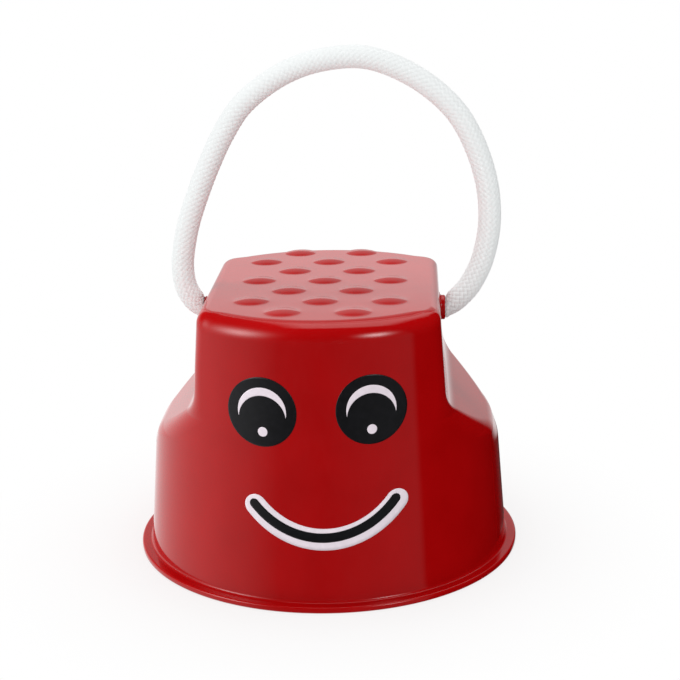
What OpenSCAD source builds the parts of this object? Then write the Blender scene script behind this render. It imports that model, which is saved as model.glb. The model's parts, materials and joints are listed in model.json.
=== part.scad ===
// Stilt cup: an upside-down bucket to stand on, with a flat-sided tower above a
// round skirt, a printed smiling face and a loop of rope knotted behind the walls.
// Sizes are in millimetres. +Z is up, the face looks along -Y, and the origin is
// the middle of the base rim on the floor.

/* [Rim and skirt] */
// Outer diameter of the rim on the floor
rim_d = 155; // [150:1:170]
// Height of the rim
rim_h = 2.4; // [1.8:0.1:4]
// Radius of the rim's two outer edges
rim_edge_r = 0.8; // [0.3:0.1:0.9]
// Radius of the hollow where the rim meets the skirt
rim_fillet_r = 1.2; // [0.4:0.1:2]
// Width by which the rim stands out past the skirt, with the skirt carried down to the floor
rim_w = 4.1; // [3.5:0.1:6]
// Angle by which the skirt leans in, in degrees
skirt_draft = 4.6; // [3:0.1:6]
// Wall of the skirt, the shoulders and the tower
wall = 2.5; // [1.6:0.1:3.4]

/* [Tower and shoulders] */
// Height of the deck above the floor
deck_h = 107.5; // [100:0.5:112]
// Thickness of the deck
deck_t = 3; // [2:0.1:4]
// Width of the deck from flat side to flat side
deck_w = 91; // [86:1:96]
// Radius of the deck's front and back edges
deck_edge_r = 8; // [5:0.5:9]
// Radius of the deck's edges at the two flat sides
side_edge_r = 4; // [3.6:0.1:5]
// Angle by which the flat sides lean in, in degrees
side_draft = 4; // [2:0.5:6]
// Depth below the deck at which the flat side would meet the shoulder's slope
shoulder_drop = 37.1; // [34:0.1:40]
// Slope of the shoulder below level, in degrees
shoulder_slope = 44; // [38:1:50]
// Radius of the hollow between the flat side and the shoulder, as a share of the shoulder's width
hollow_share = 0.71; // [0.4:0.01:0.8]
// Depth below the deck at which the shoulder has run out into the skirt
brow_drop = 62.5; // [58:0.5:66]
// Steepness of the shoulder there, in degrees
brow_slope = 78; // [74:1:80]
// Radius of the turn from the shoulder to the skirt, as a share of the shoulder's width
brow_share = 0.915; // [0.5:0.005:1]

/* [Grip bumps] */
// Diameter of a grip bump
bump_d = 13; // [8:0.5:14]
// Height of a grip bump
bump_h = 0.9; // [0.6:0.1:2]
// Distance between the bumps of a row
bump_pitch_x = 26.4; // [22:0.2:28]
// Distance from the outermost bumps to the front and the back of the deck, with the rows in its middle
bump_margin = 8.8; // [8:0.1:12]
// Distance by which the rows stand towards the back
bump_shift = 4; // [-4:0.5:5]

/* [Ribs under the deck] */
// Thickness of a rib
rib_t = 1.8; // [1:0.1:3]
// Depth of a rib below the deck
rib_h = 9; // [4:0.5:12]
// Distance between the two long ribs
rib_gap_y = 42; // [34:1:60]
// Distance between the two cross ribs
rib_gap_x = 22; // [14:1:26]

/* [Rope and its holes] */
// Diameter of the rope
rope_d = 9; // [8.8:0.1:9.4]
// Diameter of a rope hole, which squeezes the rope a little
hole_d = 8; // [7:0.1:8.6]
// Depth of the holes' middle below the deck
hole_drop = 10.5; // [9:0.5:12]
// Outer diameter of the lip round a hole
lip_d = 9.8; // [9.4:0.1:12]
// Height of a lip's face over the flat side, at the hole's middle
lip_h = 1.95; // [1.8:0.05:2]
// Diametral clearance of the squeezed rope in its hole
rope_fit = 0.1; // [0.06:0.02:0.3]
// Width of a stopper knot across its wraps
knot_d = 21; // [19:0.5:22]
// Clearance between a knot and the wall it bears on
knot_gap = 0.3; // [0.2:0.1:0.6]
// Depth of a knot's middle below the middle of its hole
knot_drop = 5; // [4:0.5:6]
// Length of the rope's cut end past the middle of its knot
end_length = 24; // [20:1:30]
// Lean of the cut end towards the middle of the cup, in degrees
end_lean = 20; // [10:1:30]

/* [Printed face] */
// Thickness of the print
print_t = 0.15; // [0.1:0.05:0.4]
// Diameter of an eye
eye_d = 26; // [20:0.5:28]
// Distance between the middles of the eyes
eye_pitch = 40.2; // [36:0.2:44]
// Depth of the eyes' middle below the deck
eye_drop = 32.4; // [30:0.1:36]
// Outer radius of the light crescent in an eye
crescent_r = 9.1; // [7:0.1:9.5]
// Radius of the circle that hollows the crescent
crescent_cut_r = 8.9; // [6.5:0.1:9]
// Distance by which that circle lies lower
crescent_shift = 2.8; // [2:0.1:4]
// Diameter of the light dot in an eye
dot_d = 3.6; // [2:0.1:5]
// Depth of the dot's middle below the eye's middle
dot_drop = 7.4; // [6:0.1:9]
// Radius of the smile's curve
smile_r = 33.7; // [30:0.1:38]
// Half of the angle that the smile spans, in degrees
smile_half_angle = 51; // [40:1:60]
// Depth of the smile's lowest point below the eyes' middle
smile_drop = 47.4; // [42:0.1:50]
// Distance by which the smile stands to the right
smile_shift = 1.65; // [-4:0.05:4]
// Thickness of the smile's dark line
smile_t = 3.6; // [2:0.1:5]
// Thickness of its light outline
outline_t = 8.3; // [6.6:0.1:10]
// Distance by which the outline stands to the right of the line
outline_shift = 0.5; // [0:0.1:1]
// Distance by which the outline stands below the line
outline_drop = 0.65; // [0:0.05:1]
// Turn of the whole print on the cup, in degrees
face_tilt = 1.4; // [-4:0.1:4]

/* [Hidden] */
LEFT = -1;
RIGHT = 1;

// Segments of a round outline, of a rounded corner and of the rope
$fn = 64;
corner_steps = 8;
arc_steps = 16;
rope_sides = 12;
// Overrun of a cut, and depth to which a feature sinks into what carries it
overrun = 1;
weld = 0.5;
// Rows of bumps between the middle row and the front of the deck
half_rows = 3;
// Height of the pole that a knot's tilted wraps cross, as a share of its width
knot_core_share = 0.62;
// Tilt of the knot's two wraps, in degrees
wrap_tilt = [28, -38];
// Length of the melted tip of a cut end, and how far it bulges past the rope
tip_h = 3;
tip_bulge = 0.4;

// Route of the loop's centreline from the left lip to the right one, as X and Z
rope_route = [
    [-48.5, 97], [-52.5, 100.5], [-55.5, 106], [-56.5, 113], [-56, 120], [-53.5, 131.5],
    [-49.5, 143], [-44.5, 155], [-38.5, 167], [-31, 178], [-20, 187], [-8, 193],
    [5, 196], [18, 196], [31, 191.5], [43, 184], [53, 174], [60, 161],
    [64.5, 146], [65.5, 131], [63, 117], [58.5, 107], [53.5, 101], [48.5, 97]
];

// Derived places
rim_r = rim_d / 2;
skirt_base_r = rim_r - rim_w;
half_deck = deck_w / 2;
bump_pitch_y = (skirt_r(deck_h) - bump_margin - bump_d / 2) / half_rows;
hole_z = deck_h - hole_drop;
lip_x = side_x(hole_z) + lip_h;
shoulder_z = deck_h - shoulder_drop;
shoulder_w = skirt_r(shoulder_z) - side_x(shoulder_z);
shoulder_hollow_r = shoulder_w * hollow_share;
brow_r = shoulder_w * brow_share;
brow_z = deck_h - brow_drop;
eye_z = deck_h - eye_drop;
squeezed_d = hole_d - rope_fit;
wrap_r = rope_d / 2;
knot_z = hole_z - knot_drop;
knot_x = side_x(knot_z) - wall / cos(side_draft) - knot_gap - knot_d / 2;

// Outer radius of the skirt, and half the width of the tower, at a height
function skirt_r(z) = skirt_base_r - z * tan(skirt_draft);
function side_x(z) = half_deck + (deck_h - z) * tan(side_draft);

// A sloping line of the front view is a point and its fall below level in degrees
function fall(a) = [cos(a), -sin(a)];
function outward(a) = [sin(a), cos(a)];
function sunk(line, depth) = [line[0] - depth * outward(line[1]), line[1]];
function cross2(u, v) = u[0] * v[1] - u[1] * v[0];
function meet(l, m) =
    l[0] + fall(l[1]) * cross2(m[0] - l[0], fall(m[1])) / cross2(fall(l[1]), fall(m[1]));
function unit(v) = v / norm(v);

// Points of the rounded corner at b, between its neighbours a and c
function corner(a, b, c, r) =
    r == 0 ? [b] :
    let (
        u = unit(a - b),
        v = unit(c - b),
        half = acos(u * v) / 2,
        middle = b + unit(u + v) * r / sin(half),
        from = b + u * r / tan(half) - middle,
        to = b + v * r / tan(half) - middle,
        start = atan2(from[1], from[0]),
        turn = atan2(cross2(from, to), from * to)
    )
    [for (i = [0 : corner_steps])
        middle + r * [cos(start + turn * i / corner_steps), sin(start + turn * i / corner_steps)]];

// An outline from corners of the form [x, y, radius]
function xy(p) = [p[0], p[1]];
function rounded(list) =
    let (n = len(list))
    [for (i = [0 : n - 1])
        each corner(xy(list[(i + n - 1) % n]), xy(list[i]), xy(list[(i + 1) % n]), list[i][2])];

// Corners of the tower's right side in the front view, with its lines sunk by the
// wall and by the deck's thickness
function side_corners(sink, deck_sink) =
    let (
        deck = sunk([[0, deck_h], 0], deck_sink),
        side = sunk([[half_deck, deck_h], 90 - side_draft], sink),
        slope = sunk([[side_x(shoulder_z), shoulder_z], shoulder_slope], sink),
        brow = sunk([[skirt_r(brow_z), brow_z], brow_slope], sink),
        step_z = brow_z / 2,
        foot = meet(brow, [[0, step_z], 0])
    )
    [
        concat(meet(deck, side), max(side_edge_r - sink, weld)),
        concat(meet(side, slope), shoulder_hollow_r + sink),
        concat(meet(slope, brow), brow_r - sink),
        concat(foot, 0),
        [rim_r + overrun, step_z, 0],
        [rim_r + overrun, -overrun, 0]
    ];

function mirrored(list) = [for (i = [len(list) - 1 : -1 : 0]) [-list[i][0], list[i][1], list[i][2]]];

// The front view's outline, drawn through the whole depth of the cup
module side_form(sink, deck_sink) {
    right = side_corners(sink, deck_sink);
    rotate([90, 0, 0])
        linear_extrude(height = rim_d + 2 * overrun, center = true)
            polygon(rounded(concat(right, mirrored(right))));
}

// The round body with its rim, and the round hollow inside it
module round_body() {
    rotate_extrude()
        polygon(rounded([
            [0, 0, 0],
            [rim_r, 0, rim_edge_r],
            [rim_r, rim_h, rim_edge_r],
            [skirt_r(rim_h), rim_h, rim_fillet_r],
            [skirt_r(deck_h), deck_h, deck_edge_r],
            [0, deck_h, 0]
        ]));
}

module round_hollow(sink, deck_sink) {
    inset = sink / cos(skirt_draft);
    rotate_extrude()
        polygon(rounded([
            [0, -overrun, 0],
            [skirt_r(-overrun) - inset, -overrun, 0],
            [skirt_r(deck_h - deck_sink) - inset, deck_h - deck_sink, deck_edge_r - sink],
            [0, deck_h - deck_sink, 0]
        ]));
}

module hollow(sink, deck_sink) {
    intersection() {
        round_hollow(sink, deck_sink);
        side_form(sink, deck_sink);
    }
}

module along_x(side, from_x, to_x, d) {
    translate([side * from_x, 0, hole_z])
        rotate([0, side * 90, 0])
            cylinder(d = d, h = to_x - from_x);
}

module grip_bump() {
    dome_r = (bump_d * bump_d / 4 + bump_h * bump_h) / (2 * bump_h);
    intersection() {
        translate([0, 0, bump_h - dome_r]) sphere(r = dome_r);
        translate([0, 0, -deck_t / 2]) cylinder(r = bump_d, h = bump_h + deck_t);
    }
}

// Rows of three bumps with rows of two between them
module grip_bumps() {
    for (row = [-half_rows : half_rows])
        let (count = row % 2 == 0 ? 3 : 2)
            for (i = [0 : count - 1])
                translate([
                    (i - (count - 1) / 2) * bump_pitch_x,
                    row * bump_pitch_y + bump_shift,
                    deck_h
                ])
                    grip_bump();
}

module deck_ribs() {
    rib_z = deck_h - deck_t - rib_h;
    intersection() {
        hollow(wall / 2, deck_t / 2);
        union() {
            for (side = [-1, 1]) {
                translate([-rim_r, side * rib_gap_y / 2 - rib_t / 2, rib_z])
                    cube([rim_d, rib_t, rib_h + deck_t]);
                translate([side * rib_gap_x / 2 - rib_t / 2, -rib_gap_y / 2, rib_z])
                    cube([rib_t, rib_gap_y, rib_h + deck_t]);
            }
        }
    }
}

module cup_shell() {
    color([0.62, 0.02, 0.05]) {
        difference() {
            union() {
                difference() {
                    intersection() {
                        round_body();
                        side_form(0, 0);
                    }
                    hollow(wall, deck_t);
                }
                for (side = [LEFT, RIGHT])
                    along_x(side, half_deck - weld, lip_x, lip_d);
                deck_ribs();
            }
            for (side = [LEFT, RIGHT])
                along_x(side, half_deck - wall - deck_edge_r, lip_x + overrun, hole_d);
        }
        grip_bumps();
    }
}

// Direction of the route at a point, which is level at its two ends, and the ring
// of points square to it
function heading(i) =
    i == 0 || i == len(rope_route) - 1 ? [-1, 0] : unit(rope_route[i + 1] - rope_route[i - 1]);
function rope_ring(i) =
    let (p = rope_route[i], t = heading(i))
    [for (k = [0 : rope_sides - 1])
        let (a = 360 * k / rope_sides, across = rope_d / 2 * cos(a))
        [p[0] - t[1] * across, rope_d / 2 * sin(a), p[1] + t[0] * across]];

module rope_loop() {
    rings = len(rope_route);
    last = (rings - 1) * rope_sides;
    color([0.95, 0.95, 0.94])
        polyhedron(
            points = [for (i = [0 : rings - 1]) each rope_ring(i)],
            faces = concat(
                [[for (k = [0 : rope_sides - 1]) k]],
                [for (i = [0 : rings - 2]) for (k = [0 : rope_sides - 1])
                    let (a = i * rope_sides + k, b = i * rope_sides + (k + 1) % rope_sides)
                    each [[a, b + rope_sides, b], [a, a + rope_sides, b + rope_sides]]],
                [[for (k = [rope_sides - 1 : -1 : 0]) last + k]]
            )
        );
}

module rope_tail(side) {
    color([0.93, 0.93, 0.91])
        along_x(side, knot_x, lip_x, squeezed_d);
}

// The rope's cut end past its knot, in the place where the knot holds it
module end_place(side) {
    translate([side * knot_x, 0, knot_z])
        rotate([0, side * (end_lean - 180), 0])
            children();
}

module rope_end_form(d) {
    rotate_extrude()
        polygon(rounded([
            [0, 0, 0],
            [d / 2, 0, 0],
            [d / 2, end_length - tip_h, 0],
            [d / 2 + tip_bulge, end_length - tip_h, tip_bulge],
            [d / 2 + tip_bulge, end_length, tip_h / 2],
            [0, end_length, 0]
        ]));
}

// Two wraps of rope round a core, with a seat for the tail and for the cut end
module stopper_knot(side) {
    color([0.94, 0.94, 0.92])
        difference() {
            translate([side * knot_x, 0, knot_z]) {
                for (tilt = wrap_tilt)
                    rotate([0, side * tilt, 0])
                        rotate_extrude()
                            translate([knot_d / 2 - wrap_r, 0])
                                circle(r = wrap_r);
                sphere(d = knot_d * knot_core_share);
            }
            along_x(side, 0, lip_x, hole_d);
            end_place(side) cylinder(d = rope_d + rope_fit, h = end_length);
        }
}

module fused_end(side) {
    color([0.9, 0.89, 0.84])
        difference() {
            end_place(side) rope_end_form(rope_d);
            along_x(side, 0, lip_x, hole_d);
        }
}

// A skin on the front of the skirt with the outline of its flat children, which
// are drawn from the middle between the eyes
module printed() {
    intersection() {
        rotate_extrude()
            polygon([
                [skirt_r(rim_h), rim_h],
                [skirt_r(rim_h) + print_t, rim_h],
                [skirt_r(deck_h) + print_t, deck_h],
                [skirt_r(deck_h), deck_h]
            ]);
        translate([0, 0, eye_z])
            rotate([90, 0, 0])
                linear_extrude(height = rim_d / 2)
                    rotate(face_tilt)
                        children();
    }
}

module eye_light() {
    difference() {
        circle(r = crescent_r);
        translate([0, -crescent_shift]) circle(r = crescent_cut_r);
    }
    translate([0, -dot_drop]) circle(d = dot_d);
}

module eye_disc(side) {
    color([0.03, 0.03, 0.03])
        printed()
            translate([side * eye_pitch / 2, 0])
                difference() {
                    circle(d = eye_d);
                    eye_light();
                }
}

module eye_glint(side) {
    color([0.93, 0.86, 0.9])
        printed()
            translate([side * eye_pitch / 2, 0])
                eye_light();
}

// Points of an arc, with its angles taken from straight down towards the right
function arc(middle, r, from, to) =
    [for (i = [0 : arc_steps])
        let (a = from + (to - from) * i / arc_steps)
        middle + r * [sin(a), -cos(a)]];

// A curved line of the smile's radius with round ends
module smile_stroke(thickness) {
    half = smile_half_angle;
    edge = thickness / 2;
    translate([smile_shift, smile_r - smile_drop])
        polygon(concat(
            arc([0, 0], smile_r + edge, -half, half),
            arc(smile_r * [sin(half), -cos(half)], edge, half, half + 180),
            arc([0, 0], smile_r - edge, half, -half),
            arc(smile_r * [-sin(half), -cos(half)], edge, 180 - half, 360 - half)
        ));
}

module smile_outline() {
    color([0.93, 0.86, 0.9])
        printed()
            difference() {
                translate([outline_shift, -outline_drop]) smile_stroke(outline_t);
                smile_stroke(smile_t);
            }
}

module smile_line() {
    color([0.03, 0.03, 0.03])
        printed()
            smile_stroke(smile_t);
}

cup_shell();
rope_loop();
rope_tail(LEFT);  // rope_tail_left
rope_tail(RIGHT);  // rope_tail_right
stopper_knot(LEFT);  // stopper_knot_left
stopper_knot(RIGHT);  // stopper_knot_right
fused_end(LEFT);  // fused_end_left
fused_end(RIGHT);  // fused_end_right
eye_disc(LEFT);  // eye_disc_left
eye_disc(RIGHT);  // eye_disc_right
eye_glint(LEFT);  // eye_glint_left
eye_glint(RIGHT);  // eye_glint_right
smile_outline();
smile_line();
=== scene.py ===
"""A moulded stilt cup with a rope loop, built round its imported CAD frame.

Shapes are worked out in millimetres and stored in metres. +Z is up, the printed
face looks along -Y, and the floor is at z = 0.
"""

import json
import math

import bpy
import numpy as np
from mathutils import Matrix, Vector

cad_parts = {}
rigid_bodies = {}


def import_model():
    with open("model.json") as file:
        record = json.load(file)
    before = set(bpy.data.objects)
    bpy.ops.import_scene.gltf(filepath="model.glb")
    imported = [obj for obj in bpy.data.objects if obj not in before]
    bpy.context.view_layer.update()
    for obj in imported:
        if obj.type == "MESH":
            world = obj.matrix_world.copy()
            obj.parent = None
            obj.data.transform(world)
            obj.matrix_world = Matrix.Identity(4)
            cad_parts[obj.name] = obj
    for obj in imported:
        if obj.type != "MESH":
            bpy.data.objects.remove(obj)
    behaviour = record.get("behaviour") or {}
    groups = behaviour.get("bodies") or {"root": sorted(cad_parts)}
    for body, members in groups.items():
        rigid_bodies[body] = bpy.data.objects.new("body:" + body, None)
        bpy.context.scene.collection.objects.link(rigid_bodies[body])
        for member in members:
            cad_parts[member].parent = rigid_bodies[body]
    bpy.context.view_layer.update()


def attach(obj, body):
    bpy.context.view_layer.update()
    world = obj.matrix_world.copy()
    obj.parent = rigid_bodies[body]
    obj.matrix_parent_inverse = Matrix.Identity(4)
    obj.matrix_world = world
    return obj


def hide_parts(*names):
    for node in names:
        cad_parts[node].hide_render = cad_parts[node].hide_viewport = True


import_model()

MM = 0.001
UP = np.array([0.0, 0.0, 1.0])
LEFT, RIGHT = -1, 1
SIDE_NAMES = {LEFT: "left", RIGHT: "right"}

# Cup, in millimetres and degrees, as the construction has it
RIM_R, RIM_H = 77.5, 2.4
RIM_EDGE_R, RIM_FILLET_R = 0.8, 1.2
SKIRT_R, SKIRT_DRAFT = 73.4, 4.6
WALL, DECK_T = 2.5, 3.0
DECK_H, HALF_DECK, SIDE_DRAFT = 107.5, 45.5, 4.0
DECK_EDGE_R, SIDE_EDGE_R = 8.0, 4.0
SHOULDER_Z, SHOULDER_SLOPE, SHOULDER_HOLLOW_R = 70.4, 44.0, 14.0
BROW_Z, BROW_SLOPE, BROW_R = 45.0, 78.0, 18.0
# Rounding of the tower's upright corners, at the shoulders, and where these run out into the skirt
CORNER_R, SHOULDER_R, FADE_R = 9.0, 13.0, 45.0
# Where the corner's radius grows to the shoulder's, and the turn between the surfaces where it fades
CORNER_TOP_Z, CORNER_BLEND_H = 88.0, 30.0
FADE_START, FADE_SPAN = 0.86, 0.13
DECK_EDGE_BLEND = 10.0
# The skirt below this height is round all the way
ROUND_Z = 22.5
BUMP_R, BUMP_H = 6.5, 0.9
BUMP_PITCH_X, BUMP_PITCH_Y, BUMP_SHIFT = 26.4, 16.48, 4.0
BUMP_BLEND = 0.12
RIB_T, RIB_H, RIB_GAP_X, RIB_GAP_Y = 1.8, 9.0, 22.0, 42.0

# Rope and its holes
ROPE_D = 9.0
HOLE_Z, LIP_R, LIP_X = 97.0, 4.9, 48.2
HOLE_R = 4.05
LIP_ROOT_X, LIP_SUNK_X, LIP_FOOT_X, LIP_FOOT_R = 44.6, 45.4, 46.1, 7.0
LIP_BORE_EDGE_R, LIP_EDGE_R, LIP_FILLET_R = 0.4, 0.6, 0.8
KNOT_X, KNOT_Z, KNOT_D = 31.2, 92.0, 21.0
END_LENGTH, END_LEAN = 24.0, 20.0
# Where the loop starts, outside the holes, and where the tails inside them end
LOOP_END_X, TAIL_END_X = 48.5, 48.4

# Route of the loop's centreline from the left lip to the right one, as X and Z
ROPE_ROUTE = [
    (-48.5, 97), (-52.5, 100.5), (-55.5, 106), (-56.5, 113), (-56, 120), (-53.5, 131.5),
    (-49.5, 143), (-44.5, 155), (-38.5, 167), (-31, 178), (-20, 187), (-8, 193),
    (5, 196), (18, 196), (31, 191.5), (43, 184), (53, 174), (60, 161),
    (64.5, 146), (65.5, 131), (63, 117), (58.5, 107), (53.5, 101), (48.5, 97),
]

# Printed face, from the middle between the eyes
EYE_Z, EYE_PITCH, EYE_R = 75.1, 40.2, 13.0
CRESCENT_R, CRESCENT_CUT_R, CRESCENT_SHIFT = 9.1, 8.9, 2.8
DOT_R, DOT_DROP = 1.8, 7.4
SMILE_R, SMILE_HALF_ANGLE, SMILE_DROP, SMILE_SHIFT = 33.7, 51.0, 47.4, 1.65
SMILE_T, OUTLINE_T = 3.6, 8.3
OUTLINE_SHIFT, OUTLINE_DROP = 0.5, 0.65
FACE_TILT = 1.4

# Camera, fitted to the photograph
CAMERA_LENS, SENSOR = 81.606, 36.0
CAMERA_PLACE = (0.0353216, -0.5971964, 0.2555201)
CAMERA_AZIMUTH, CAMERA_ELEVATION, CAMERA_ROLL = 2.823, 16.059, -0.982


def sind(a):
    return math.sin(math.radians(a))


def cosd(a):
    return math.cos(math.radians(a))


def tand(a):
    return math.tan(math.radians(a))


def smooth(x):
    x = np.clip(x, 0, 1)
    return x * x * (3 - 2 * x)


def unit(v):
    return v / np.linalg.norm(v, axis=-1, keepdims=True)


# Meshes

def build_mesh(name, points, *face_sets, uv=None):
    """An object from points in millimetres and arrays of faces, each with its own corner count."""
    mesh = bpy.data.meshes.new(name)
    points = np.asarray(points, float).reshape(-1, 3) * MM
    mesh.vertices.add(len(points))
    mesh.vertices.foreach_set("co", points.astype(np.float32).ravel())
    corners = np.concatenate([f.ravel() for f in face_sets]).astype(np.int32)
    counts = np.concatenate([np.full(len(f), f.shape[1]) for f in face_sets]).astype(np.int32)
    starts = np.concatenate([[0], np.cumsum(counts)[:-1]]).astype(np.int32)
    mesh.loops.add(len(corners))
    mesh.loops.foreach_set("vertex_index", corners)
    mesh.polygons.add(len(counts))
    mesh.polygons.foreach_set("loop_start", starts)
    mesh.polygons.foreach_set("loop_total", counts)
    mesh.polygons.foreach_set("use_smooth", np.ones(len(counts), bool))
    if uv is not None:
        layer = mesh.uv_layers.new(name="along")
        layer.data.foreach_set("uv", uv[corners].astype(np.float32).ravel())
    mesh.update()
    mesh.validate()
    obj = bpy.data.objects.new(name, mesh)
    bpy.context.scene.collection.objects.link(obj)
    return obj


def grid_faces(rows, columns, wrap=True, first=0):
    """Quads of a grid of points, stored row by row, whose columns may close on themselves."""
    across = np.arange(columns if wrap else columns - 1)
    a = (np.arange(rows - 1)[:, None] * columns + across).ravel()
    b = (np.arange(rows - 1)[:, None] * columns + (across + 1) % columns).ravel()
    return np.stack([a, b, b + columns, a + columns], 1) + first


def fan_faces(centre, ring, flip=False):
    """Triangles from one point to a closed ring of points."""
    after = np.roll(ring, -1)
    order = [np.full(len(ring), centre), after, ring] if flip else [np.full(len(ring), centre), ring, after]
    return np.stack(order, 1)


def revolve(name, profile, sides, place=None):
    """A closed ring swept round the Z axis from (radius, height) points, then placed."""
    turn = np.linspace(0, 2 * np.pi, sides, endpoint=False)
    profile = np.asarray(profile, float)
    r, z = profile[:, 0][:, None], profile[:, 1][:, None]
    points = np.stack([r * np.cos(turn), r * np.sin(turn), z + 0 * turn], -1).reshape(-1, 3)
    if place is not None:
        points = points @ np.array(place.to_3x3()).T + np.array(place.translation)
    faces = grid_faces(len(profile), sides)
    last = grid_faces(2, sides) % sides
    last[:, :2] += (len(profile) - 1) * sides
    return build_mesh(name, points, faces, last)


def arc(middle, r, start, end, steps):
    a = np.radians(np.linspace(start, end, steps))
    return np.stack([middle[0] + r * np.cos(a), middle[1] + r * np.sin(a)], -1)


def rounded_corner(a, b, c, r, steps=24):
    """Points of the arc of radius r that rounds the corner b between its neighbours a and c."""
    a, b, c = (np.asarray(p, float) for p in (a, b, c))
    u, v = unit(a - b), unit(c - b)
    half = math.acos(float(u @ v)) / 2
    middle = b + unit(u + v) * r / math.sin(half)
    start, end = b + u * r / math.tan(half) - middle, b + v * r / math.tan(half) - middle
    turn = math.atan2(start[0] * end[1] - start[1] * end[0], float(start @ end))
    angles = math.atan2(start[1], start[0]) + np.linspace(0, turn, steps)
    return middle + r * np.stack([np.cos(angles), np.sin(angles)], -1)


def smooth_path(points, step):
    """A curve through the points, with places about step apart."""
    p = np.asarray(points, float)
    p = np.vstack([2 * p[0] - p[1], p, 2 * p[-1] - p[-2]])
    found = []
    for i in range(1, len(p) - 2):
        t = np.linspace(0, 1, 40, endpoint=i == len(p) - 3)[:, None]
        found.append(0.5 * (2 * p[i] + (p[i + 1] - p[i - 1]) * t
                            + (2 * p[i - 1] - 5 * p[i] + 4 * p[i + 1] - p[i + 2]) * t ** 2
                            + (3 * p[i] - p[i - 1] - 3 * p[i + 1] + p[i + 2]) * t ** 3))
    dense = np.vstack(found)
    gone = np.concatenate([[0], np.cumsum(np.linalg.norm(np.diff(dense, axis=0), axis=1))])
    even = np.linspace(0, gone[-1], int(gone[-1] / step) + 1)
    return np.stack([np.interp(even, gone, dense[:, k]) for k in range(3)], 1)


# Camera

def add_camera():
    a, e, roll = (math.radians(x) for x in (CAMERA_AZIMUTH, CAMERA_ELEVATION, CAMERA_ROLL))
    back = Vector((math.sin(a) * math.cos(e), -math.cos(a) * math.cos(e), math.sin(e)))
    right = Vector((math.cos(a), math.sin(a), 0))
    up = back.cross(right)
    data = bpy.data.cameras.new("photo_camera")
    data.lens, data.sensor_width = CAMERA_LENS, SENSOR
    camera = bpy.data.objects.new("photo_camera", data)
    bpy.context.scene.collection.objects.link(camera)
    axes = Matrix((right * math.cos(roll) + up * math.sin(roll),
                   up * math.cos(roll) - right * math.sin(roll), back)).transposed()
    camera.matrix_world = Matrix.Translation(CAMERA_PLACE) @ axes.to_4x4()
    bpy.context.scene.camera = camera


# Materials

class Nodes:
    """Short ways to add and join a node tree's nodes."""

    def __init__(self, tree):
        self.tree = tree
        tree.nodes.clear()

    def add(self, kind, **inputs):
        node = self.tree.nodes.new("ShaderNode" + kind)
        for key, value in inputs.items():
            self.set(node, key, value)
        return node

    def set(self, node, key, value):
        socket = node.inputs[key if isinstance(key, int) else key.replace("_", " ")]
        if isinstance(value, bpy.types.NodeSocket):
            self.tree.links.new(value, socket)
        else:
            socket.default_value = value

    def math(self, kind, a, b=0.0, clamp=False):
        node = self.tree.nodes.new("ShaderNodeMath")
        node.operation, node.use_clamp = kind, clamp
        self.set(node, 0, a)
        self.set(node, 1, b)
        return node.outputs[0]

    def ramp(self, value, stops, scale=1.0):
        """A curve through (place, level) stops. The value is scaled before it is looked up."""
        node = self.add("ValToRGB", Fac=value if scale == 1.0 else self.math("MULTIPLY", value, scale))
        elements = node.color_ramp.elements
        while len(elements) < len(stops):
            elements.new(0.5)
        for element, (place, colour) in zip(elements, stops):
            element.position = place
            element.color = (colour,) * 3 + (1,) if isinstance(colour, (int, float)) else (*colour, 1)
        return node.outputs["Color"]

    def grey(self, value):
        return self.add("CombineColor", Red=value, Green=value, Blue=value).outputs[0]

    def blend(self, kind, a, b):
        node = self.tree.nodes.new("ShaderNodeMix")
        node.data_type, node.blend_type = "RGBA", kind
        for key, value in ((0, 1.0), (6, a), (7, b)):
            self.set(node, key, value)
        return node.outputs[2]

    def scale(self, a, b):
        return self.blend("MULTIPLY", a, b)

    def plus(self, a, b):
        return self.blend("ADD", a, b)

    def mix(self, share, a, b):
        node = self.tree.nodes.new("ShaderNodeMix")
        node.data_type = "RGBA"
        for key, value in ((0, share), (6, a), (7, b)):
            self.set(node, key, value)
        return node.outputs[2]


def new_material(name):
    material = bpy.data.materials.new(name)
    material.use_nodes = True
    return material, Nodes(material.node_tree)


def colour(r, g, b):
    return (r, g, b, 1)


def object_noise(n, scale, detail=2.0, stretch=(1, 1, 1)):
    """Noise over the object's own coordinates, in metres."""
    place = n.add("Mapping", Vector=n.add("TexCoord").outputs["Object"], Scale=stretch)
    return n.add("TexNoise", Vector=place.outputs[0], Scale=scale, Detail=detail).outputs["Fac"]


def red_plastic():
    """Moulded glossy plastic: a faint waviness from the mould, finer speckle and light handling marks."""
    material, n = new_material("red_plastic")
    tint = n.ramp(object_noise(n, 60, 4), [(0.3, (0.284, 0.0010, 0.0014)), (0.7, (0.314, 0.0014, 0.0020))])
    marks = object_noise(n, 900, 3, (1, 1, 0.15))
    roughness = n.ramp(marks, [(0.35, 0.055), (0.75, 0.105)])
    wave = n.add("Bump", Height=object_noise(n, 45, 1), Strength=0.05, Distance=0.0004)
    speckle = n.add("Bump", Height=object_noise(n, 2600, 2), Strength=0.02, Distance=0.00003,
                    Normal=wave.outputs[0])
    shader = n.add("BsdfPrincipled", Base_Color=tint, Roughness=roughness, IOR=1.5,
                   Normal=speckle.outputs[0])
    n.add("OutputMaterial", Surface=shader.outputs[0])
    return material


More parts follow.
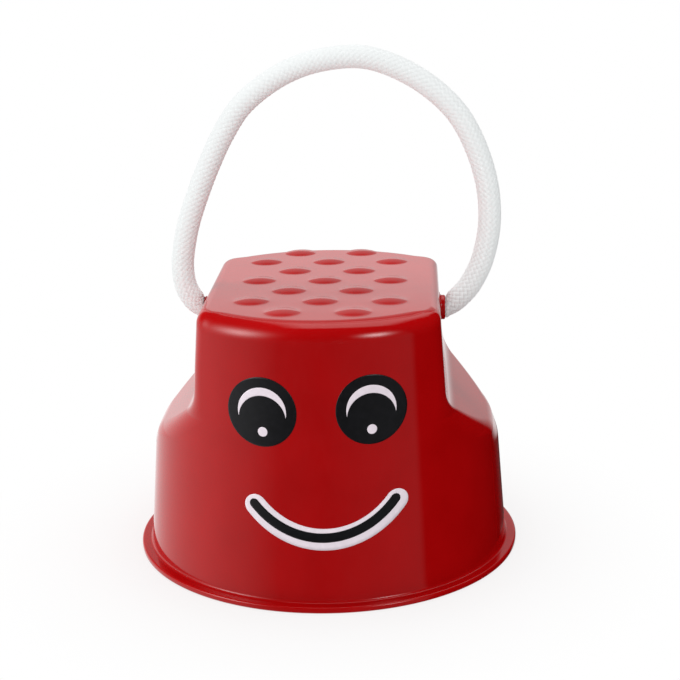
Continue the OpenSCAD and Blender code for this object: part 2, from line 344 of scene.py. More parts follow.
def ink(name, low, high, roughness):
    """Printed ink with the slight mottling of a pad print."""
    material, n = new_material(name)
    tint = n.ramp(object_noise(n, 420, 5), [(0.3, low), (0.7, high)])
    rough = n.ramp(object_noise(n, 1500, 3), [(0.3, roughness), (0.7, roughness + 0.08)])
    skin = n.add("Bump", Height=object_noise(n, 1800, 3), Strength=0.12, Distance=0.00003)
    shader = n.add("BsdfPrincipled", Base_Color=tint, Roughness=rough, IOR=1.45, Normal=skin.outputs[0])
    n.add("OutputMaterial", Surface=shader.outputs[0])
    return material


def rope_yarn():
    """White braided yarn: fine filaments along each strand, darker in the gaps."""
    material, n = new_material("rope_yarn")
    along = n.add("UVMap")
    along.uv_map = "along"
    place = n.add("Mapping", Vector=along.outputs[0], Scale=(0.35, 5.0, 1))
    filaments = n.add("TexNoise", Vector=place.outputs[0], Scale=1.6, Detail=4.0).outputs["Fac"]
    fluff = object_noise(n, 2400, 3)
    tint = n.mix(n.math("MULTIPLY", filaments, 0.8),
                 n.ramp(fluff, [(0.3, (0.88, 0.905, 0.905)), (0.7, (0.92, 0.945, 0.945))]),
                 colour(0.93, 0.955, 0.955))
    lay = n.add("Bump", Height=filaments, Strength=0.4, Distance=0.0001)
    fuzz = n.add("Bump", Height=fluff, Strength=0.3, Distance=0.00006, Normal=lay.outputs[0])
    shader = n.add("BsdfPrincipled", Base_Color=tint, Roughness=0.82, IOR=1.45, Normal=fuzz.outputs[0],
                   Sheen_Weight=0.1, Sheen_Roughness=0.5)
    n.add("OutputMaterial", Surface=shader.outputs[0])
    return material


def melted_yarn():
    """The rope's melted tip: smooth, waxy and a little yellowed."""
    material, n = new_material("melted_yarn")
    tint = n.ramp(object_noise(n, 500, 4), [(0.3, (0.62, 0.58, 0.48)), (0.7, (0.80, 0.78, 0.70))])
    lumps = n.add("Bump", Height=object_noise(n, 700, 3), Strength=0.5, Distance=0.0003)
    shader = n.add("BsdfPrincipled", Base_Color=tint, Roughness=0.32, IOR=1.5, Normal=lumps.outputs[0])
    n.add("OutputMaterial", Surface=shader.outputs[0])
    return material


# Cup

def deck_bumps(x, y):
    """Height of the grip bumps over the deck: domes in rows of two and three."""
    dome_r = (BUMP_R ** 2 + BUMP_H ** 2) / (2 * BUMP_H)
    height = np.zeros_like(x)
    for row in range(-3, 4):
        count = 3 if row % 2 == 0 else 2
        for i in range(count):
            middle = ((i - (count - 1) / 2) * BUMP_PITCH_X, row * BUMP_PITCH_Y + BUMP_SHIFT)
            far = np.minimum((x - middle[0]) ** 2 + (y - middle[1]) ** 2, dome_r ** 2)
            dome = np.sqrt(dome_r ** 2 - far) - (dome_r - BUMP_H)
            height = np.maximum(height, (dome + np.sqrt(dome ** 2 + BUMP_BLEND ** 2)) / 2)
    return height - BUMP_BLEND / 2 * np.exp(-height / BUMP_BLEND)


def side_outline(sink):
    """Half width of the cup in the front view against height, as a table from the deck down."""
    def line(x, z, fall):
        direction = np.array([cosd(fall), -sind(fall)])
        return np.array([x, z]) - sink * np.array([sind(fall), cosd(fall)]), direction

    def meet(l, m):
        (p, d), (q, e) = l, m
        gap = q - p
        return p + d * (gap[0] * e[1] - gap[1] * e[0]) / (d[0] * e[1] - d[1] * e[0])

    side_x = HALF_DECK + (DECK_H - SHOULDER_Z) * tand(SIDE_DRAFT)
    skirt_x = SKIRT_R - BROW_Z * tand(SKIRT_DRAFT)
    side = line(side_x, SHOULDER_Z, 90 - SIDE_DRAFT)
    slope = line(side_x, SHOULDER_Z, SHOULDER_SLOPE)
    brow = line(skirt_x, BROW_Z, BROW_SLOPE)
    top = meet(side, line(0, DECK_H + 4, 0))
    foot = meet(brow, line(0, ROUND_Z - 4, 0))
    hollow, turn = meet(side, slope), meet(slope, brow)
    table = np.vstack([
        [top],
        rounded_corner(top, hollow, turn, SHOULDER_HOLLOW_R + sink),
        rounded_corner(hollow, turn, foot, BROW_R - sink),
        [foot],
    ])
    return table[::-1]


def round_meeting(a, b, turn, r):
    """Distance to the rounded corner between two surfaces at distances a and b, whose outward
    normals have that cosine between them."""
    turn = np.clip(turn, -0.9, 0.9995)
    u, v = a + r, b + r
    inside = (u > turn * v) & (v > turn * u)
    corner = np.sqrt(np.maximum(u * u + v * v - 2 * turn * u * v, 0) / (1 - turn ** 2)) - r
    return np.where(inside, corner, np.maximum(a, b))


def cup_distance(p, sink, deck_sink, table, bumps):
    """Distance from points to the cup's skin, sunk by the wall for the inside. Negative is inside."""
    x, y, z = p[..., 0], p[..., 1], p[..., 2]
    radius = np.maximum(np.hypot(x, y), 1e-6)
    cone = (radius - SKIRT_R + z * tand(SKIRT_DRAFT)) * cosd(SKIRT_DRAFT) + sink
    half_width = np.interp(z, table[:, 1], table[:, 0])
    lean = (np.interp(z + 0.2, table[:, 1], table[:, 0])
            - np.interp(z - 0.2, table[:, 1], table[:, 0])) / 0.4
    level = 1 / np.sqrt(1 + lean ** 2)
    side = (np.abs(x) - half_width) * level
    turn = (cosd(SKIRT_DRAFT) * np.abs(x) / radius * level
            - sind(SKIRT_DRAFT) * lean * level)
    r = CORNER_R + (SHOULDER_R - CORNER_R) * smooth((CORNER_TOP_Z - z) / CORNER_BLEND_H)
    r = r + (FADE_R - r) * smooth((turn - FADE_START) / FADE_SPAN)
    round_side = round_meeting(cone, side, turn, np.maximum(r - sink, 2))
    deck = z - DECK_H + deck_sink
    if bumps:
        deck = deck - deck_bumps(x, y)
    edge = SIDE_EDGE_R + (DECK_EDGE_R - SIDE_EDGE_R) * smooth(0.5 + (cone - side) / DECK_EDGE_BLEND)
    return round_meeting(round_side, deck, sind(SKIRT_DRAFT), np.maximum(edge - sink, 1.5))


def fan_rings(middle_z, angles, turn, distance):
    """Rings of the skin where rays from a point on the axis leave it, one ring for each rise."""
    rise = np.radians(angles)[:, None]
    direction = np.stack([np.cos(rise) * np.cos(turn), np.cos(rise) * np.sin(turn),
                          np.sin(rise) + 0 * turn], -1)
    start = np.array([0, 0, middle_z])
    near, far = np.full(direction.shape[:2], 20.0), np.full(direction.shape[:2], 130.0)
    for _ in range(24):
        half = (near + far) / 2
        outside = distance(start + half[..., None] * direction) > 0
        near, far = np.where(outside, near, half), np.where(outside, half, far)
    return start + ((near + far) / 2)[..., None] * direction


def cup_shell():
    """The whole moulding as one skin: outside from the deck down, round the rim, and up the inside."""
    sides, outer_rings, inner_rings = 1080, 560, 260
    middle_z = 40.0
    turn = np.linspace(0, 2 * np.pi, sides, endpoint=False)
    outer_table, inner_table = side_outline(0), side_outline(WALL)

    def skirt_r(z, sink=0.0):
        return SKIRT_R - z * tand(SKIRT_DRAFT) - sink / cosd(SKIRT_DRAFT)

    def low_rise(sink):
        return math.degrees(math.atan2(ROUND_Z - middle_z, skirt_r(ROUND_Z, sink)))

    outer = fan_rings(middle_z, np.linspace(89.9, low_rise(0), outer_rings), turn,
                      lambda p: cup_distance(p, 0, 0, outer_table, True))
    inner = fan_rings(middle_z, np.linspace(low_rise(WALL), 89.8, inner_rings), turn,
                      lambda p: cup_distance(p, WALL, DECK_T, inner_table, False))
    foot = [(skirt_r(RIM_H), RIM_H), (RIM_R, RIM_H), (RIM_R, 0.0), (skirt_r(0, WALL), 0.0)]
    profile = np.vstack([
        [(skirt_r(z), z) for z in np.linspace(ROUND_Z, RIM_H + 2 * RIM_FILLET_R, 14)[1:]],
        rounded_corner((skirt_r(ROUND_Z), ROUND_Z), foot[0], foot[1], RIM_FILLET_R, 10),
        rounded_corner(foot[0], foot[1], foot[2], RIM_EDGE_R, 10),
        rounded_corner(foot[1], foot[2], foot[3], RIM_EDGE_R, 10),
        rounded_corner(foot[2], foot[3], (skirt_r(ROUND_Z, WALL), ROUND_Z), 0.5, 6),
        [(skirt_r(z, WALL), z) for z in np.linspace(2, ROUND_Z, 12)[:-1]],
    ])
    low = np.stack([profile[:, :1] * np.cos(turn), profile[:, :1] * np.sin(turn),
                    profile[:, 1:] + 0 * turn], -1)
    rings = np.concatenate([outer, low, inner])
    count = len(rings)
    tops = np.array([[0, 0, outer[0, :, 2].mean()], [0, 0, DECK_H - DECK_T]])
    points = np.vstack([rings.reshape(-1, 3), tops])
    ring = np.arange(sides)
    return build_mesh("cup_shell_skin", points,
                      grid_faces(count, sides)[:, ::-1],
                      fan_faces(count * sides, ring),
                      fan_faces(count * sides + 1, ring + (count - 1) * sides, flip=True))


def finish_piece(obj, material, body, slot, *nodes):
    obj.data.materials.append(material)
    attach(obj, body)
    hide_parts(*nodes)
    return obj


def hole_lip(side):
    """The raised ring round a rope hole, with a small fillet to the wall."""
    profile = np.vstack([
        [(HOLE_R, LIP_ROOT_X)],
        rounded_corner((HOLE_R, LIP_ROOT_X), (HOLE_R, LIP_X), (LIP_R, LIP_X), LIP_BORE_EDGE_R, 8),
        rounded_corner((HOLE_R, LIP_X), (LIP_R, LIP_X), (LIP_R, LIP_FOOT_X), LIP_EDGE_R, 8),
        rounded_corner((LIP_R, LIP_X), (LIP_R, LIP_FOOT_X), (LIP_FOOT_R, LIP_FOOT_X), LIP_FILLET_R, 8),
        [(LIP_FOOT_R, LIP_SUNK_X)],
    ])
    place = (Matrix.Translation((0, 0, HOLE_Z)) @ Matrix.Rotation(side * math.pi / 2, 4, "Y"))
    return revolve(f"hole_lip_{SIDE_NAMES[side]}", profile, 96, place)


def box_faces(first):
    """The six sides of a box whose eight corners are listed by x, then y, then z."""
    sides = [[0, 1, 3, 2], [4, 6, 7, 5], [0, 4, 5, 1], [2, 3, 7, 6], [0, 2, 6, 4], [1, 5, 7, 3]]
    return np.array(sides) + first


def deck_ribs():
    """The four ribs under the deck, running into the walls."""
    low, high = DECK_H - DECK_T - RIB_H, DECK_H - DECK_T + 1
    corners = [(sx, sy, z) for sx in (-1, 1) for sy in (-1, 1) for z in (low, high)]
    points, faces = [], []

    def wall_x(z):
        return HALF_DECK + (DECK_H - z) * tand(SIDE_DRAFT) - WALL / 2

    def bar(corner_list):
        faces.append(box_faces(len(points)))
        points.extend(corner_list)

    for side in (LEFT, RIGHT):
        y = side * RIB_GAP_Y / 2
        bar([(sx * wall_x(z), y + sy * RIB_T / 2, z) for sx, sy, z in corners])
        x = side * RIB_GAP_X / 2
        bar([(x + sx * RIB_T / 2, sy * RIB_GAP_Y / 2, z) for sx, sy, z in corners])
    obj = build_mesh("deck_ribs", np.array(points), np.vstack(faces))
    bevel = obj.modifiers.new("edges", "BEVEL")
    bevel.width, bevel.segments = 0.35 * MM, 3
    return obj


# Printed face

def printed_patch(name, outlines, lift):
    """A thin skin on the skirt's front. Each outline is a grid of flat (x, z) places from the
    middle between the eyes, and it gets a turned-in edge down to the plastic."""
    points, faces, count = [], [], 0
    for grid in outlines:
        rows, columns = grid.shape[:2]
        x = grid[..., 0] * cosd(FACE_TILT) - grid[..., 1] * sind(FACE_TILT)
        z = grid[..., 0] * sind(FACE_TILT) + grid[..., 1] * cosd(FACE_TILT) + EYE_Z
        for depth in (lift, -0.1):
            reach = SKIRT_R - z * tand(SKIRT_DRAFT) + depth
            layer = np.stack([x, -np.sqrt(reach ** 2 - x ** 2), z], -1)
            points.append(layer.reshape(-1, 3))
        faces.append(grid_faces(rows, columns, wrap=False, first=count))
        number = np.arange(rows * columns).reshape(rows, columns) + count
        edge = np.concatenate([number[0], number[1:, -1], number[-1, -2::-1], number[-2:0:-1, 0]])
        after = np.roll(edge, -1)
        faces.append(np.stack([edge, edge + rows * columns, after + rows * columns, after], 1))
        count += 2 * rows * columns
    return build_mesh(name, np.vstack(points), np.vstack(faces))


def disc(middle, r, steps=48):
    """A round patch as a square grid bent to its rim."""
    s = np.linspace(-1, 1, steps)
    a, b = np.meshgrid(s, s, indexing="ij")
    return np.stack([middle[0] + r * a * np.sqrt(1 - b * b / 2),
                     middle[1] + r * b * np.sqrt(1 - a * a / 2)], -1)


def crescent(middle):
    """The light crescent of an eye, between two arcs that meet at its tips."""
    drop = (CRESCENT_R ** 2 - CRESCENT_CUT_R ** 2 + CRESCENT_SHIFT ** 2) / (2 * CRESCENT_SHIFT)
    tip_x = math.sqrt(CRESCENT_R ** 2 - drop ** 2)
    outer_tip = math.degrees(math.atan2(-drop, tip_x))
    inner_tip = math.degrees(math.atan2(CRESCENT_SHIFT - drop, tip_x))
    steps = 90
    outer = arc(middle, CRESCENT_R, 180 - outer_tip, outer_tip, steps)
    inner = arc((middle[0], middle[1] - CRESCENT_SHIFT), CRESCENT_CUT_R, 180 - inner_tip, inner_tip, steps)
    share = np.linspace(0, 1, 9)[:, None, None]
    return inner * (1 - share) + outer * share


def smile_stroke(thickness, shift=(0.0, 0.0)):
    """A curved stroke of the smile's radius with round ends."""
    edge = thickness / 2
    length = 2 * math.radians(SMILE_HALF_ANGLE) * SMILE_R
    end = edge * (1 - np.cos(np.linspace(0, np.pi / 2, 12)))
    along = np.concatenate([end - edge, np.linspace(0, length, 90)[1:-1], length + edge - end[::-1]])
    past = np.maximum(np.maximum(-along, along - length), 0)
    width = np.sqrt(np.maximum(edge ** 2 - past ** 2, 1e-4))
    angle = np.clip(along, 0, length) / SMILE_R - math.radians(SMILE_HALF_ANGLE)
    outward = np.stack([np.sin(angle), -np.cos(angle)], -1)
    forward = np.stack([np.cos(angle), np.sin(angle)], -1)
    middle = np.array([SMILE_SHIFT + shift[0], SMILE_R - SMILE_DROP + shift[1]])
    line = middle + SMILE_R * outward + (past * np.sign(along))[:, None] * forward
    across = np.linspace(1, -1, 7)[:, None, None]
    return line + across * width[:, None] * outward


def printed_face(dark, light):
    for side in (LEFT, RIGHT):
        middle = (side * EYE_PITCH / 2, 0)
        name = SIDE_NAMES[side]
        finish_piece(printed_patch(f"eye_{name}_black", [disc(middle, EYE_R)], 0.06),
                     dark, "cup", "dark_print", f"eye_disc_{name}")
        glint = [crescent(middle), disc((middle[0], middle[1] - DOT_DROP), DOT_R, 16)]
        finish_piece(printed_patch(f"eye_{name}_glint", glint, 0.12),
                     light, "cup", "light_print", f"eye_glint_{name}")
    wide = smile_stroke(OUTLINE_T, (OUTLINE_SHIFT, -OUTLINE_DROP))
    finish_piece(printed_patch("smile_white", [wide], 0.06), light, "cup", "light_print", "smile_outline")
    finish_piece(printed_patch("smile_black", [smile_stroke(SMILE_T)], 0.12),
                 dark, "cup", "dark_print", "smile_line")


# Rope

STRANDS = 12
STRAND_WIDTH, STRAND_THICKNESS = 1.14, 0.44
WEAVE_DEPTH = 0.08
BRAID_TURN = 27.0
CORE_SHARE = 0.945
# The rope's thickness as a share of its own: squeezed in the hole, and a little slimmer at the loop's foot
TAIL_SHARE, TAIL_LENGTH, TAIL_SWELL = 0.93, 6.0, 4.0
FOOT_SHARE, FOOT_LENGTH = 0.95, 5.0
# Length of the cut end past the knot
FREE_END = 15.0


def turning_frame(path, first):
    """Two directions across the path at each place, carried along it without twist."""
    tangent = unit(np.gradient(path, axis=0))
    across = np.zeros_like(path)
    across[0] = unit(first - (first @ tangent[0]) * tangent[0])
    for i in range(1, len(path)):
        across[i] = unit(across[i - 1] - (across[i - 1] @ tangent[i]) * tangent[i])
    return across, np.cross(tangent, across)


def press_behind(points):
    """Strands inside a hole pressed level with the plane where the tail of the rope ends."""
    points[:, 0] = np.clip(points[:, 0], -TAIL_END_X, TAIL_END_X)


def press_outside(points):
    """Strands at the foot of the loop pressed level with the plane where the loop starts."""
    foot = (points[:, 2] < HOLE_Z + ROPE_D) & (np.abs(points[:, 0]) < LOOP_END_X)
    points[foot, 0] = np.sign(points[foot, 0]) * LOOP_END_X


def braid(name, path, across, beside, radius, press, start=0.0):
    """A round braid: strands that wind both ways and pass over and under each other, on a core.
    The strands' points go through press at the end."""
    gone = start + np.concatenate([[0], np.cumsum(np.linalg.norm(np.diff(path, axis=0), axis=1))])
    radius = np.broadcast_to(radius, gone.shape)
    middle_r = radius - WEAVE_DEPTH - STRAND_THICKNESS
    around = np.linspace(0, 2 * np.pi, 8, endpoint=False)
    points, uvs, faces, count = [], [], [], 0
    for way in (-1, 1):
        weave = way * WEAVE_DEPTH * np.cos(2 * np.pi * STRANDS * gone / BRAID_TURN)
        for k in range(STRANDS):
            angle = (way * 2 * np.pi * gone / BRAID_TURN + 2 * np.pi * k / STRANDS)[:, None]
            out = np.cos(angle) * across + np.sin(angle) * beside
            line = path + (middle_r + weave)[:, None] * out
            flat = unit(np.cross(unit(np.gradient(line, axis=0)), out))
            width = STRAND_WIDTH * (radius / (ROPE_D / 2))[:, None, None]
            ring = (line[:, None] + width * np.cos(around)[:, None] * flat[:, None]
                    + STRAND_THICKNESS * np.sin(around)[:, None] * out[:, None])
            points.append(ring.reshape(-1, 3))
            uvs.append(np.stack([np.repeat(gone, 8) + 31 * k, np.tile(around, len(gone)) + 7 * k], -1))
            faces.append(grid_faces(len(gone), 8, first=count))
            count += len(gone) * 8
    core_turn = np.linspace(0, 2 * np.pi, 24, endpoint=False)
    ring = (path[:, None] + (CORE_SHARE * radius)[:, None, None]
            * (np.cos(core_turn)[:, None] * across[:, None] + np.sin(core_turn)[:, None] * beside[:, None]))
    points.append(ring.reshape(-1, 3))
    uvs.append(np.stack([np.repeat(gone, 24), np.tile(core_turn, len(gone))], -1))
    faces.append(grid_faces(len(gone), 24, first=count))
    first_ring = np.arange(24) + count
    last_ring = first_ring + (len(gone) - 1) * 24
    points = np.vstack(points)
    press(points)
    return build_mesh(name, points, np.vstack(faces), first_ring[None, ::-1], last_ring[None],
                      uv=np.vstack(uvs))


def rope_loop(material):
    """The loop that stands over the deck. Its ends are cut level with the faces of the lips."""
    route = np.array([(x, 0, z) for x, z in ROPE_ROUTE], float)
    path = smooth_path(route, 0.3)
    tangent = unit(np.gradient(path, axis=0))
    beside = np.tile([0.0, 1.0, 0.0], (len(path), 1))
    across = np.cross(beside, tangent)
    gone = np.concatenate([[0], np.cumsum(np.linalg.norm(np.diff(path, axis=0), axis=1))])
    from_end = np.minimum(gone, gone[-1] - gone)
    share = smooth(from_end / 7)[:, None]
    upright = np.sign(across[:, 2:3]) * UP
    across = unit(across * share + upright * (1 - share))
    radius = ROPE_D / 2 * (FOOT_SHARE + (1 - FOOT_SHARE) * smooth(from_end / FOOT_LENGTH))
    obj = braid("rope_loop_braid", path, across, beside, radius, press_outside)
    finish_piece(obj, material, "rope", "rope", "rope_loop")


def knot_route(side):
    """The rope behind a wall: out of the hole, twice round in a stopper knot, and down to its end."""
    turn = np.radians(np.linspace(20, 690, 60))
    tilt = np.radians(28 - 66 * smooth((turn / np.pi - 1.6) / 0.8))
    r = (KNOT_D - ROPE_D) / 2
    wraps = np.stack([r * np.cos(turn) * np.cos(tilt), r * np.sin(turn),
                      r * np.cos(turn) * np.sin(tilt)], -1)
    down = np.array([-sind(END_LEAN), 0, -cosd(END_LEAN)])
    route = np.vstack([
        [(16.6, 0, 5.0), (12.5, 0, 5.0), (9.0, 0, 4.4)],
        wraps,
        [down * share for share in (7, 10, 13, 16, 19, END_LENGTH - 1)],
    ])
    return route * [side, 1, 1] + [side * KNOT_X, 0, KNOT_Z]


def rope_behind_wall(side, yarn, melted):
    name = SIDE_NAMES[side]
    path = smooth_path(knot_route(side), 0.4)
    across, beside = turning_frame(path, UP)
    gone = np.concatenate([[0], np.cumsum(np.linalg.norm(np.diff(path, axis=0), axis=1))])
    radius = (ROPE_D / 2) * (TAIL_SHARE + (1 - TAIL_SHARE) * smooth((gone - TAIL_LENGTH) / TAIL_SWELL))
    cut = int(np.argmax(gone > gone[-1] - FREE_END))
    near, far = slice(0, cut + 1), slice(cut, None)
    knot = braid(f"knotted_rope_{name}", path[near], across[near], beside[near], radius[near],
                 press_behind)
    finish_piece(knot, yarn, "cup", "rope", f"rope_tail_{name}", f"stopper_knot_{name}")
    end = braid(f"rope_end_{name}", path[far], across[far], beside[far], radius[far],
                press_behind, start=gone[cut])
    finish_piece(end, yarn, "cup", "rope", f"fused_end_{name}")
    tip = np.vstack([
        arc((ROPE_D / 2 - 0.9, 0.6), 1.0, -90, 60, 8),
        arc((ROPE_D / 2 - 2.0, 1.0), 1.7, 60, 90, 4),
        [(1.2, 2.4), (0.02, 2.1), (0.02, 0.2)],
    ])
    heading = Vector(path[-1] - path[-3]).to_track_quat("Z", "Y").to_matrix().to_4x4()
    place = Matrix.Translation(Vector(path[-1] - unit(path[-1] - path[-3]) * 1.4)) @ heading
    cap = revolve(f"melted_tip_{name}", tip, 40, place)
    finish_piece(cap, melted, "cup", "rope", f"fused_end_{name}")


# Surroundings

FILL_LEVEL, FILL_FROM_LEFT, FILL_FROM_FRONT, FILL_FROM_ABOVE = 0.90, 0.03, 0.06, 0.25
LAMP_DISTANCE, LAMP_AIM_Z = 1.6, 0.08
# Azimuth, elevation, width in metres and power of each lamp
LAMPS = {
    "left_lamp": (-103, 12, 0.8, 22.0),
    "front_lamp": (12, 12, 0.6, 5.0),
    "top_lamp": (180, 78, 0.8, 14.0),
}
# Azimuth, elevation, spread and strength of each lamp as the plastic mirrors it
MIRRORED_LAMPS = [(-61, 30, 9.5, 5.4), (41, 31, 5.8, 9.0), (-74, 32, 11, 1.6)]
FLOOR_SIZE = 30000.0
# The painted shadow that the floor shows in reflections, a dark patch to the cup's right, and how the cup's
# shadow fades into white, in metres
SHADOW_PATCH_MIDDLE, SHADOW_PATCH_DARK, SHADOW_PATCH_END = (0.075, 0.075, 0.0), 0.065, 0.10
SHADOW_START, SHADOW_END, SHADOW_SHARE = 0.085, 0.15, 0.30


def bearing(azimuth, elevation):
    """A direction. Azimuth 0 is towards the front of the cup and 90 is its right."""
    return (sind(azimuth) * cosd(elevation), -cosd(azimuth) * cosd(elevation), sind(elevation))


def glow(n, direction, azimuth, elevation, spread, strength):
    """A light with soft edges, as it shows in a reflection."""
    aim = n.add("VectorMath", Vector=direction)
    aim.operation = "DOT_PRODUCT"
    aim.inputs[1].default_value = bearing(azimuth, elevation)
    off = n.math("SUBTRACT", aim.outputs["Value"], 1.0)
    fall = n.math("EXPONENT", n.math("DIVIDE", off, math.radians(spread) ** 2))
    return n.math("MULTIPLY", fall, strength)


def band(n, value, middle, half, soft):
    """1 within half of the middle, falling to 0 over the soft width."""
    off = n.math("ABSOLUTE", n.math("SUBTRACT", value, middle))
    return n.ramp(off, [(half - soft / 2, 1.0), (half + soft / 2, 0.0)])


def reflected_surroundings(n, direction):
    """What the glossy plastic mirrors: a white sweep behind and at the left, a dark front, a black
    flag at the right, a panel overhead and the lamps."""
    split = n.add("SeparateXYZ", Vector=direction)
    x, y, z = split.outputs
    azimuth = n.math("ARCTAN2", x, n.math("MULTIPLY", y, -1.0))
    share = n.math("ADD", n.math("MULTIPLY", azimuth, 0.5 / math.pi), 0.5)
    height = n.math("ADD", n.math("MULTIPLY", z, 0.5), 0.5)

    def at(degrees):
        return (degrees + 180) / 360

    def up(degrees):
        return 0.5 + 0.5 * sind(degrees)

    ring = n.ramp(share, [
        (0.0, 0.95), (at(-165), 1.05), (at(-140), 0.94), (at(-110), 0.80), (at(-75), 0.64),
        (at(-50), 0.42), (at(-28), 0.10), (at(0), 0.05), (at(45), 0.16), (at(62), 0.20),
        (at(66), 0.0), (at(148), 0.0), (at(157), 0.40), (at(164), 0.80), (1.0, 0.95),
    ])
    low = n.ramp(height, [(up(8), 1.0), (up(30), 0.05)])
    sides = n.scale(ring, low)
    behind = n.ramp(height, [
        (up(-12), 1.0), (up(-4), 0.60), (up(4), 0.72), (up(10), 0.98), (up(13), 1.04), (up(14), 1.08),
        (up(15.2), 0.93), (up(17), 0.52), (up(34), 0.45), (up(46), 0.08), (up(60), 0.04),
    ])
    behind = n.scale(behind, n.ramp(share, [(0.0, 0.97), (at(-165), 1.0), (at(0), 1.0), (at(150), 0.5),
                                            (at(160), 0.86), (at(166), 0.95), (1.0, 0.97)]))
    far = n.ramp(n.math("ABSOLUTE", azimuth), [(2.60 / 4, 0.0), (2.95 / 4, 1.0)], 0.25)
    ground = n.mix(far, sides, behind)
    overhead = n.math("MULTIPLY", band(n, x, 0.12, 0.32, 0.16), band(n, y, 0.32, 0.35, 0.14))
    overhead = n.math("MULTIPLY", overhead, n.ramp(z, [(0.05, 0.0), (0.3, 1.6)]))
    lights = overhead
    for place in MIRRORED_LAMPS:
        lights = n.math("ADD", lights, glow(n, direction, *place))
    return n.plus(ground, lights)


def fill_light(n, direction):
    """Soft light on everything: an even dome, stronger from above, with the black flag low at the
    right."""
    split = n.add("SeparateXYZ", Vector=direction)
    x, y, z = split.outputs
    sideways = n.math("ADD", n.math("MULTIPLY", x, -FILL_FROM_LEFT), n.math("MULTIPLY", y, -FILL_FROM_FRONT))
    above = n.math("MULTIPLY", n.math("MAXIMUM", z, 0.0), FILL_FROM_ABOVE)
    flag = n.math("POWER", n.math("MAXIMUM", x, 0.0), 3.0)
    flag = n.math("MULTIPLY", flag, n.ramp(z, [(0.0, 1.0), (0.35, 0.0)]))
    total = n.math("ADD", n.math("ADD", sideways, FILL_LEVEL), above)
    return n.math("MAXIMUM", n.math("SUBTRACT", total, flag), 0.0)


def light_of_direction(n, direction, rays):
    """Reflections see the studio, and all other light is the soft fill."""
    return n.mix(rays.outputs["Is Glossy Ray"], n.grey(fill_light(n, direction)),
                 reflected_surroundings(n, direction))


def add_world():
    world = bpy.data.worlds.new("studio")
    world.use_nodes = True
    bpy.context.scene.world = world
    n = Nodes(world.node_tree)
    rays = n.add("LightPath")
    around = light_of_direction(n, n.add("TexCoord").outputs["Generated"], rays)
    shown = n.mix(rays.outputs["Is Camera Ray"], around, colour(1, 1, 1))
    back = n.add("Background", Color=shown, Strength=1.0)
    n.add("OutputWorld", Surface=back.outputs[0])


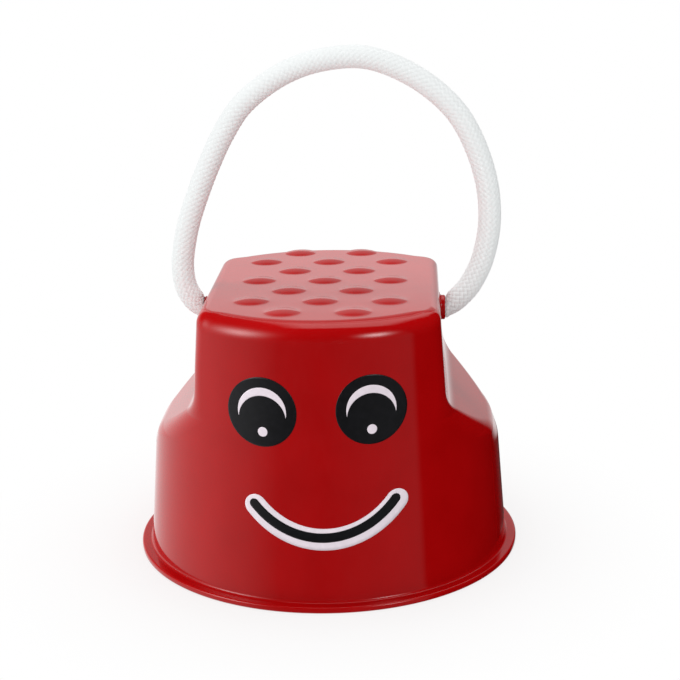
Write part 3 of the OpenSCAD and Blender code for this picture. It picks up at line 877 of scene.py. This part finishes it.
def add_floor():
    """A pale floor that goes on to the horizon. The eye sees it white, with the cup's soft shadow,
    and looks through it from below."""
    size = FLOOR_SIZE
    corners = np.array([(-size, -size, 0), (size, -size, 0), (size, size, 0), (-size, size, 0)])
    obj = build_mesh("floor", corners, np.array([[0, 1, 2, 3]]))
    material, n = new_material("pale_floor")
    rays = n.add("LightPath")
    geometry = n.add("NewGeometry")
    away = n.add("VectorMath", Vector=geometry.outputs["Incoming"])
    away.operation = "SCALE"
    away.inputs["Scale"].default_value = -1.0
    # Painted shadow: in reflections the floor's glow is darkened round a spot to the cup's right, standing
    # in for the cup's own shadow
    shade = n.add("VectorMath", Vector=geometry.outputs["Position"])
    shade.operation = "DISTANCE"
    shade.inputs[1].default_value = SHADOW_PATCH_MIDDLE
    shade = n.ramp(shade.outputs["Value"], [(SHADOW_PATCH_DARK, 0.05), (SHADOW_PATCH_END, 1.0)])
    shade = n.mix(rays.outputs["Is Glossy Ray"], colour(1, 1, 1), shade)
    around = n.add("Emission", Color=n.scale(light_of_direction(n, away.outputs[0], rays), shade))
    distance = n.add("VectorMath", Vector=geometry.outputs["Position"])
    distance.operation = "LENGTH"
    fade = n.ramp(distance.outputs["Value"], [(SHADOW_START, 1.0 - SHADOW_SHARE), (SHADOW_END, 1.0)])
    lit = n.add("BsdfDiffuse", Color=colour(0.95, 0.95, 0.95))
    white = n.add("Emission", Color=colour(1, 1, 1))
    shown = n.add("MixShader", Fac=fade)
    n.set(shown, 1, lit.outputs[0])
    n.set(shown, 2, white.outputs[0])
    choice = n.add("MixShader", Fac=rays.outputs["Is Camera Ray"])
    n.set(choice, 1, around.outputs[0])
    n.set(choice, 2, shown.outputs[0])
    from_below = n.math("MULTIPLY", geometry.outputs["Backfacing"], rays.outputs["Is Camera Ray"])
    one_sided = n.add("MixShader", Fac=from_below)
    n.set(one_sided, 1, choice.outputs[0])
    n.set(one_sided, 2, n.add("BsdfTransparent").outputs[0])
    n.add("OutputMaterial", Surface=one_sided.outputs[0])
    obj.data.materials.append(material)


def add_lamp(name, azimuth, elevation, size, power, lit):
    """A soft lamp on the given objects, flagged off everything else. Its mirror image comes from
    the surroundings, so the lamp itself has none."""
    data = bpy.data.lights.new(name, "AREA")
    data.shape, data.size, data.energy = "DISK", size, power
    lamp = bpy.data.objects.new(name, data)
    towards = Vector(bearing(azimuth, elevation))
    lamp.location = towards * LAMP_DISTANCE + Vector((0, 0, LAMP_AIM_Z))
    lamp.rotation_euler = towards.to_track_quat("Z", "Y").to_euler()
    lamp.visible_glossy = False
    bpy.context.scene.collection.objects.link(lamp)
    receivers = bpy.data.collections.new(f"{name}_receivers")
    for obj in lit:
        receivers.objects.link(obj)
    lamp.light_linking.receiver_collection = receivers


def add_lamps(lit):
    for name, (azimuth, elevation, size, power) in LAMPS.items():
        add_lamp(name, azimuth, elevation, size, power, lit)


def is_lit_by_lamps(obj):
    """The moulding and the print on it. The white rope keeps to the soft fill."""
    return obj.type == "MESH" and obj.active_material.name in ("red_plastic", "black_ink", "white_ink")


def main():
    add_camera()
    yarn = rope_yarn()
    rope_loop(yarn)
    plastic = red_plastic()
    finish_piece(cup_shell(), plastic, "cup", "cup_plastic", "cup_shell")
    finish_piece(deck_ribs(), plastic, "cup", "cup_plastic", "cup_shell")
    melted = melted_yarn()
    for side in (LEFT, RIGHT):
        finish_piece(hole_lip(side), plastic, "cup", "cup_plastic", "cup_shell")
        rope_behind_wall(side, yarn, melted)
    printed_face(ink("black_ink", (0.0026, 0.0026, 0.0036), (0.0050, 0.0050, 0.0066), 0.28),
                 ink("white_ink", (0.64, 0.57, 0.62), (0.71, 0.63, 0.69), 0.35))
    add_world()
    add_floor()
    add_lamps([obj for obj in bpy.context.scene.objects if is_lit_by_lamps(obj)])
    scene = bpy.context.scene
    scene.view_settings.view_transform = "Standard"


main()
